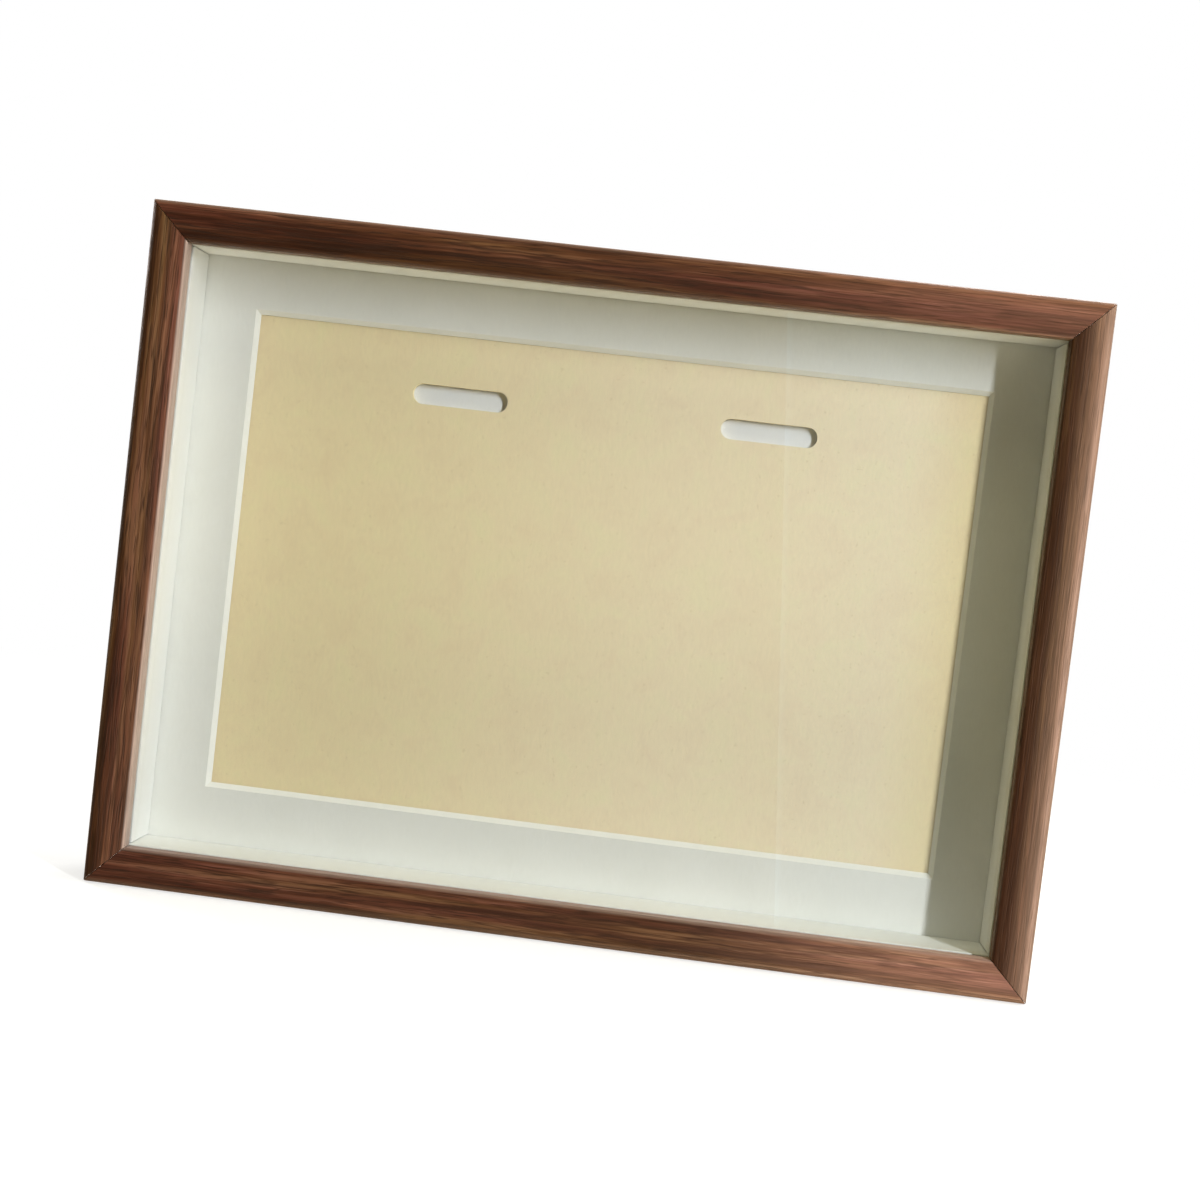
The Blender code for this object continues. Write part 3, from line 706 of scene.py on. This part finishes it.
def make_mat_board(paper, core):
    """Mat board with a window cut at 45 degrees through its white core."""
    low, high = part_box("window_mat")
    openings = frame["record"]["physics"]["openings"]
    window = next(item["box_m"] for item in openings if item["name"] == "mat_window")
    bevel = high.y - low.y
    bm = bmesh.new()
    box_between(bm, low, high)
    loops = []
    for y, spread in ((low.y, bevel), (high.y, 0.0)):
        face = next(f for f in bm.faces if all(abs(v.co.y - y) < MERGE for v in f.verts))
        bmesh.ops.inset_region(bm, faces=[face], thickness=bevel)
        reach = spread + WINDOW_MARGIN
        for vert in face.verts:
            vert.co.x = math.copysign(window[1][0] + reach, vert.co.x)
            upper = vert.co.z > (low.z + high.z) / 2
            vert.co.z = window[1][2] + reach if upper else window[0][2] - reach
        loops.append(face)
    rims = [edge for face in loops for edge in face.edges]
    front_rim = list(loops[0].edges)
    bmesh.ops.delete(bm, geom=loops, context='FACES_ONLY')
    cut = bmesh.ops.bridge_loops(bm, edges=rims)
    for face in cut["faces"]:
        face.material_index = 1
    ease(bm, front_rim, PAPER_EDGE, 2)
    piece = mesh_object("bevelled_mat_board", bm)
    finish_piece(piece, [paper, core], "insert", ["window_mat"])


def make_slotted_card(cream, core):
    """Card with a round-ended slot for each ribbon, pale inside where it is cut."""
    low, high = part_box("medal_card")
    bm = bmesh.new()
    box_between(bm, low, high)
    ease(bm, bm.edges[:], PAPER_EDGE, 2)
    piece = mesh_object("cream_slotted_card", bm)
    piece.data.materials.append(cream)
    piece.data.materials.append(core)
    cutter = bmesh.new()
    for opening in frame["record"]["physics"]["openings"]:
        if not opening["name"].startswith("ribbon_slot"):
            continue
        slot_low = Vector(opening["box_m"][0])
        slot_high = Vector(opening["box_m"][1])
        middle = (slot_low + slot_high) / 2
        near = Vector((middle.x - SLOT_HALF_LENGTH, low.y - SLOT_CUT_SLACK, middle.z - SLOT_HALF_HEIGHT))
        far = Vector((middle.x + SLOT_HALF_LENGTH, high.y + SLOT_CUT_SLACK, middle.z + SLOT_HALF_HEIGHT))
        verts = box_between(cutter, near, far)
        edges = dict.fromkeys(edge for vert in verts for edge in vert.link_edges)
        painted_shade = [edge for edge in edges if abs(edge.verts[0].co.y - edge.verts[1].co.y) > SLOT_CUT_SLACK]
        ease(cutter, painted_shade, SLOT_HALF_HEIGHT * SLOT_ROUND_SHARE, SLOT_ROUND_STEPS)
    for face in cutter.faces:
        face.material_index = 1
    combine(piece, cutter)
    finish_piece(piece, [cream, core], "insert", ["medal_card"])


# Hardware of the back

def pivot_of(place):
    """Middle of a button's screw."""
    low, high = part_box(f"button_screw_{place}")
    return (low + high) / 2


def make_turn_buttons(finish):
    """Stamped buttons with rolled edges and a pressed rib, each lying along its rail."""
    low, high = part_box("turn_button_left")
    hub = (high.x - low.x) / 2
    reach = (high.z - low.z) - hub - BUTTON_TIP
    plate_back = low.y + BUTTON_PLATE
    touch = math.acos((hub - BUTTON_TIP) / reach)
    outline = arc((0, 0), hub, touch, 2 * math.pi - touch, SMOOTH_SIDES)
    outline += arc((reach, 0), BUTTON_TIP, -touch, touch, SMOOTH_SIDES // 2)
    half = RIB_WIDTH / 2
    rib_outline = arc((RIB_START, 0), half, math.pi / 2, 3 * math.pi / 2, RIB_STEPS)
    rib_outline += arc((reach - RIB_END_GAP, 0), half, -math.pi / 2, math.pi / 2, RIB_STEPS)
    front = low.y - FIT_GAP
    bore = [(0, high.y), (BUTTON_BORE, high.y), (BUTTON_BORE, front), (0, front)]
    for place in BUTTON_PLACES:
        bm = bmesh.new()
        extrude_flat(bm, outline, low.y, plate_back)
        rim = [e for e in bm.edges if abs(e.verts[0].co.y - e.verts[1].co.y) < MERGE]
        ease(bm, rim, BUTTON_EASE, 3)
        piece = mesh_object(f"stamped_turn_button_{place}", bm)
        rib_bm = bmesh.new()
        extrude_flat(rib_bm, rib_outline, plate_back - RIB_SINK, high.y)
        crest = [e for e in rib_bm.edges if all(abs(v.co.y - high.y) < MERGE for v in e.verts)]
        ease(rib_bm, crest, RIB_ROUND, 4)
        combine(piece, rib_bm, 'UNION')
        hole_bm = bmesh.new()
        turned(hole_bm, bore)
        combine(piece, hole_bm)
        node_low, node_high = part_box(f"turn_button_{place}")
        pivot = pivot_of(place)
        middle = (node_low + node_high) / 2
        turn = math.atan2(pivot.z - middle.z, middle.x - pivot.x)
        placing = Matrix.Translation((pivot.x, 0, pivot.z)) @ Matrix.Rotation(turn, 4, 'Y')
        piece.data.transform(placing)
        finish_piece(piece, [finish], f"button_{place}", [f"turn_button_{place}"])


def make_button_screws(finish):
    """Pan-head screws with a tapered cross recess."""
    low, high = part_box("button_screw_left")
    radius = (high.x - low.x) / 2
    head_back = high.y - SCREW_HEAD
    rim_top = head_back + SCREW_RIM
    profile = dome(radius, rim_top, high.y - rim_top, SCREW_DOME_STEPS)
    profile += [(radius, head_back + SCREW_EASE), (radius - SCREW_EASE, head_back)]
    profile += [(SCREW_SHANK, head_back), (SCREW_SHANK, low.y + SCREW_POINT), (0, low.y)]
    span = Vector((RECESS_SPAN / 2, 0, RECESS_WIDTH / 2))
    floor = Vector((0, high.y - RECESS_DEPTH, 0))
    roof = Vector((0, high.y + FIT_GAP, 0))
    for place in BUTTON_PLACES:
        bm = bmesh.new()
        turned(bm, profile)
        piece = mesh_object(f"pan_head_screw_{place}", bm)
        for turn in (0, math.pi / 2):
            arm = bmesh.new()
            verts = box_between(arm, floor - span, roof + span)
            painted_shade = [vert for vert in verts if vert.co.y < high.y - RECESS_DEPTH / 2]
            bmesh.ops.scale(arm, verts=painted_shade, vec=(RECESS_TAPER, 1, 1))
            bmesh.ops.rotate(arm, verts=verts, cent=(0, 0, 0), matrix=Matrix.Rotation(turn, 3, 'Y'))
            combine(piece, arm)
        pivot = pivot_of(place)
        twist = Matrix.Rotation(SCREW_TWIST * pivot.x / radius, 4, 'Y')
        piece.data.transform(Matrix.Translation((pivot.x, 0, pivot.z)) @ twist)
        finish_piece(piece, [finish], "frame", [f"button_screw_{place}"])


def hanger_rise(x, half_length, rise):
    """How far the hanger stands off the rail at a place along it."""
    share = (half_length - HANGER_TAB - abs(x)) / HANGER_RAMP
    share = min(max(share, 0.0), 1.0)
    return rise * share * share * (3 - 2 * share)


def make_hanger(finish):
    """Bowed plate, its tabs chamfered and drilled, with teeth on the lower edge of its raised middle."""
    low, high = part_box("sawtooth_hanger")
    length = high.x - low.x
    half_length = length / 2
    height = high.z - low.z
    rise = (high.y - low.y) - PLATE_THICKNESS
    raised = half_length - HANGER_TAB - HANGER_RAMP
    teeth = max(1, round(2 * raised / TOOTH_PITCH))
    pitch = 2 * raised / teeth
    columns = round(length / (pitch / TOOTH_STEPS))
    bm = bmesh.new()
    bmesh.ops.create_grid(bm, x_segments=columns, y_segments=1, size=0.5)
    bmesh.ops.rotate(bm, verts=bm.verts, cent=(0, 0, 0), matrix=Matrix.Rotation(math.pi / 2, 3, 'X'))
    bmesh.ops.scale(bm, verts=bm.verts, vec=(length, 1, height))
    for vert in bm.verts:
        x = vert.co.x
        vert.co.y = low.y + hanger_rise(x, half_length, rise)
        corner = max(0.0, abs(x) - half_length + HANGER_CHAMFER)
        vert.co.z -= math.copysign(corner, vert.co.z)
        if vert.co.z < 0 and abs(x) < raised:
            phase = (x + raised) / pitch % 1.0
            vert.co.z += TOOTH_DEPTH * (1 - abs(2 * phase - 1))
    swept = bmesh.ops.extrude_face_region(bm, geom=bm.faces[:])
    moved = [item for item in swept["geom"] if isinstance(item, bmesh.types.BMVert)]
    bmesh.ops.translate(bm, verts=moved, vec=(0, PLATE_THICKNESS, 0))
    middle = (low + high) / 2
    bmesh.ops.translate(bm, verts=bm.verts, vec=(middle.x, 0, middle.z))
    bm.normal_update()
    flat = [e for e in bm.edges if abs(e.verts[0].co.y - e.verts[1].co.y) < PLATE_THICKNESS / 2]
    ease(bm, [e for e in flat if e.calc_face_angle(0) > math.pi / 3], HANGER_EASE, 2)
    piece = mesh_object("sawtooth_hanger_plate", bm)
    for side in ("left", "right"):
        nail_low, nail_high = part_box(f"hanger_nail_{side}")
        bore = NAIL_SHANK + FIT_GAP
        front = low.y - FIT_GAP
        hole = bmesh.new()
        turned(hole, [(0, high.y), (bore, high.y), (bore, front), (0, front)])
        centre = (nail_low + nail_high) / 2
        bmesh.ops.translate(hole, verts=hole.verts, vec=(centre.x, 0, centre.z))
        combine(piece, hole)
    finish_piece(piece, [finish], "frame", ["sawtooth_hanger"])


def make_hanger_nails(finish):
    """Nails with a low domed head through the hanger's tabs."""
    for side in ("left", "right"):
        low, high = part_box(f"hanger_nail_{side}")
        middle = (low + high) / 2
        radius = (high.x - low.x) / 2
        head_back = high.y - NAIL_HEAD
        profile = dome(radius, head_back + NAIL_RIM, NAIL_DOME, NAIL_DOME_STEPS)
        profile += [(radius, head_back + NAIL_EASE), (radius - NAIL_EASE, head_back)]
        profile += [(NAIL_SHANK, head_back), (NAIL_SHANK, low.y + NAIL_POINT), (0, low.y)]
        bm = bmesh.new()
        turned(bm, profile)
        bmesh.ops.translate(bm, verts=bm.verts, vec=(middle.x, 0, middle.z))
        piece = mesh_object(f"domed_nail_{side}", bm)
        finish_piece(piece, [finish], "frame", [f"hanger_nail_{side}"])


# Stage

def make_world():
    """White to the eye, and a soft warm room light for the rest."""
    world = bpy.data.worlds.new("studio")
    bpy.context.scene.world = world
    world.use_nodes = True
    tree = world.node_tree
    path = add(tree, "LightPath")
    seen = maths(tree, 'MAXIMUM', path.outputs["Is Camera Ray"], path.outputs["Is Transmission Ray"])
    room = add(tree, "Background", {"Color": ROOM_COLOUR, "Strength": ROOM_STRENGTH})
    white = add(tree, "Background", {"Color": (1, 1, 1, 1), "Strength": 1.0})
    mixed = add(tree, "MixShader", {0: seen})
    tree.links.new(room.outputs[0], mixed.inputs[1])
    tree.links.new(white.outputs[0], mixed.inputs[2])
    tree.links.new(mixed.outputs[0], tree.nodes["World Output"].inputs["Surface"])


def make_floor():
    """Pale paper floor that is white to the eye and keeps the box's shadow."""
    bm = bmesh.new()
    bmesh.ops.create_grid(bm, x_segments=1, y_segments=1, size=FLOOR_HALF_SIZE)
    bmesh.ops.translate(bm, verts=bm.verts, vec=(0, 0, -FLOOR_DROP))
    floor = mesh_object("paper_floor", bm)
    material = bpy.data.materials.new("pale_paper_floor")
    material.use_nodes = True
    tree = material.node_tree
    tree.nodes.remove(tree.nodes["Principled BSDF"])
    coordinates = add(tree, "TexCoord")
    distance = add(tree, "VectorMath", {0: coordinates.outputs["Object"]}, operation='LENGTH')
    far = share_between(tree, distance.outputs["Value"], FLOOR_SHADE_NEAR, FLOOR_SHADE_FAR)
    path = add(tree, "LightPath")
    seen = maths(tree, 'MAXIMUM', path.outputs["Is Camera Ray"], path.outputs["Is Transmission Ray"])
    pale = add(tree, "BsdfDiffuse", {"Color": FLOOR_COLOUR})
    shade = add(tree, "BsdfDiffuse", {"Color": ramp(tree, far, ((0.0, FLOOR_SHADE), (1.0, 0.0)))})
    brightness = maths(tree, 'ADD', maths(tree, 'MULTIPLY', far, FLOOR_GLOW_GAIN), FLOOR_GLOW_NEAR)
    glow = add(tree, "Emission", {"Strength": brightness})
    both = add(tree, "AddShader")
    tree.links.new(shade.outputs[0], both.inputs[0])
    tree.links.new(glow.outputs[0], both.inputs[1])
    open_way = maths(tree, 'MAXIMUM', path.outputs["Is Glossy Ray"], path.outputs["Is Shadow Ray"])
    bounce = add(tree, "MixShader", {0: open_way})
    tree.links.new(pale.outputs[0], bounce.inputs[1])
    tree.links.new(add(tree, "BsdfTransparent").outputs[0], bounce.inputs[2])
    mixed = add(tree, "MixShader", {0: seen})
    tree.links.new(bounce.outputs[0], mixed.inputs[1])
    tree.links.new(both.outputs[0], mixed.inputs[2])
    tree.links.new(mixed.outputs[0], tree.nodes["Material Output"].inputs["Surface"])
    floor.data.materials.append(material)


def add_softbox(name, azimuth, elevation, distance, width, height, watts, colour,
                matt=True, gloss=True, lean=0):
    """Area lamp that faces the middle of the box; azimuth 0 is straight in front, 90 on the right."""
    a = math.radians(azimuth)
    e = math.radians(elevation)
    away = Vector((math.sin(a) * math.cos(e), -math.cos(a) * math.cos(e), math.sin(e)))
    data = bpy.data.lights.new(name, 'AREA')
    data.shape = 'RECTANGLE'
    data.size = width
    data.size_y = height
    data.energy = watts
    data.color = colour
    lamp = bpy.data.objects.new(name, data)
    lamp.location = LAMP_TARGET + away * distance
    leaning = Matrix.Rotation(math.radians(lean), 3, 'Z').to_quaternion()
    lamp.rotation_euler = (away.to_track_quat('Z', 'Y') @ leaning).to_euler()
    lamp.visible_camera = False
    lamp.visible_transmission = False
    lamp.visible_diffuse = matt
    lamp.visible_glossy = gloss
    bpy.context.scene.collection.objects.link(lamp)
    return data


def grade_card(data, stops):
    """Let a card's brightness change from its left side to its right side."""
    data.use_nodes = True
    tree = data.node_tree
    spot = add(tree, "NewGeometry").outputs["Parametric"]
    across = add(tree, "SeparateXYZ", {"Vector": spot}).outputs["X"]
    connect(tree, tree.nodes["Emission"].inputs["Strength"], ramp(tree, across, stops))


def make_lamps():
    """A tall window-like key from the right, soft boxes beside and behind, and cards for the sheen."""
    # Name, azimuth, elevation, distance, width, height, watts and colour
    add_softbox("tall_key", 41, 20, 1.6, 0.072, 0.92, 22.4, (0.94, 0.97, 1.0), gloss=False)
    add_softbox("overhead_box", 8, 68, 1.6, 0.9, 0.9, 6.2, (1.0, 0.93, 0.60))
    add_softbox("under_box", 45, -70, 1.2, 0.3, 0.3, 5.6, (1.0, 0.90, 0.68))
    add_softbox("left_fill", -80, 5, 1.6, 0.5, 0.5, 2.0, (1.0, 0.86, 0.44), gloss=False)
    add_softbox("side_box", 84, 40, 1.6, 0.9, 0.9, 13, (1.0, 0.97, 0.94), gloss=False)
    add_softbox("back_left_box", 150, 30, 2.0, 1.2, 1.2, 30, (0.97, 0.98, 1.0))
    add_softbox("back_right_box", 240, 25, 2.0, 0.8, 1.2, 22, (0.97, 0.98, 1.0))
    veil = add_softbox(
        "veil_card", 9.9, -2, 2.0, 0.36, 1.6, 3.3, (0.60, 0.95, 1.20), matt=False, lean=VEIL_LEAN,
    )
    grade_card(veil, VEIL_STOPS)
    add_softbox("front_right_card", 33, -4, 2.0, 1.0, 1.6, 8, (1.0, 1.0, 1.0), matt=False)
    add_softbox("side_card", 70, -5, 1.6, 1.3, 1.1, 26, (1.0, 0.98, 0.96), matt=False)


def make_camera():
    """The photograph's viewpoint."""
    data = bpy.data.cameras.new("photo_view")
    data.sensor_width = CAMERA_SENSOR
    data.lens = CAMERA_LENS
    camera = bpy.data.objects.new("photo_view", data)
    camera.location = CAMERA_PLACE
    camera.rotation_euler = [math.radians(angle) for angle in CAMERA_TURN]
    bpy.context.scene.collection.objects.link(camera)
    bpy.context.scene.camera = camera


make_rails()
white_paper = make_paper("white_mat_paper", (0.82, 0.825, 0.80), (0.79, 0.795, 0.765), 0.02 * MM)
white_core = make_paper("white_mat_core", (0.74, 0.73, 0.69), (0.71, 0.70, 0.66), 0.03 * MM)
spacer_board = make_paper(
    "white_spacer_board", (0.80, 0.81, 0.80), (0.78, 0.79, 0.78), 0.01 * MM, roughness=0.55, specular=0.3,
)
lining_paper = make_paper("white_lining_paper", (0.86, 0.875, 0.895), (0.83, 0.845, 0.865), 0.04 * MM)
zinc = make_plated_steel("zinc_plated_steel", (0.66, 0.66, 0.65), (0.50, 0.50, 0.49), 0.42, 650.0)
screw_steel = make_plated_steel("zinc_plated_screw", (0.70, 0.68, 0.63), (0.54, 0.52, 0.47), 0.32, 900.0)
nail_steel = make_plated_steel("bright_nail_steel", (0.60, 0.60, 0.60), (0.44, 0.44, 0.44), 0.36, 800.0)
make_mat_board(white_paper, white_core)
make_slotted_card(make_cream_card(), white_core)
make_turn_buttons(zinc)
make_button_screws(screw_steel)
make_hanger(zinc)
make_hanger_nails(nail_steel)
dress_node("glass_pane", make_glass())
for edge in ("top", "bottom", "left", "right"):
    dress_node(f"spacer_{edge}", spacer_board)
dress_node("backing_sheet", lining_paper)
dress_node("back_panel", make_hardboard())
for corner in CORNERS:
    dress_node(f"v_nail_{corner}", nail_steel)

make_world()
make_floor()
make_lamps()
make_camera()
bpy.context.scene.view_settings.view_transform = 'Standard'
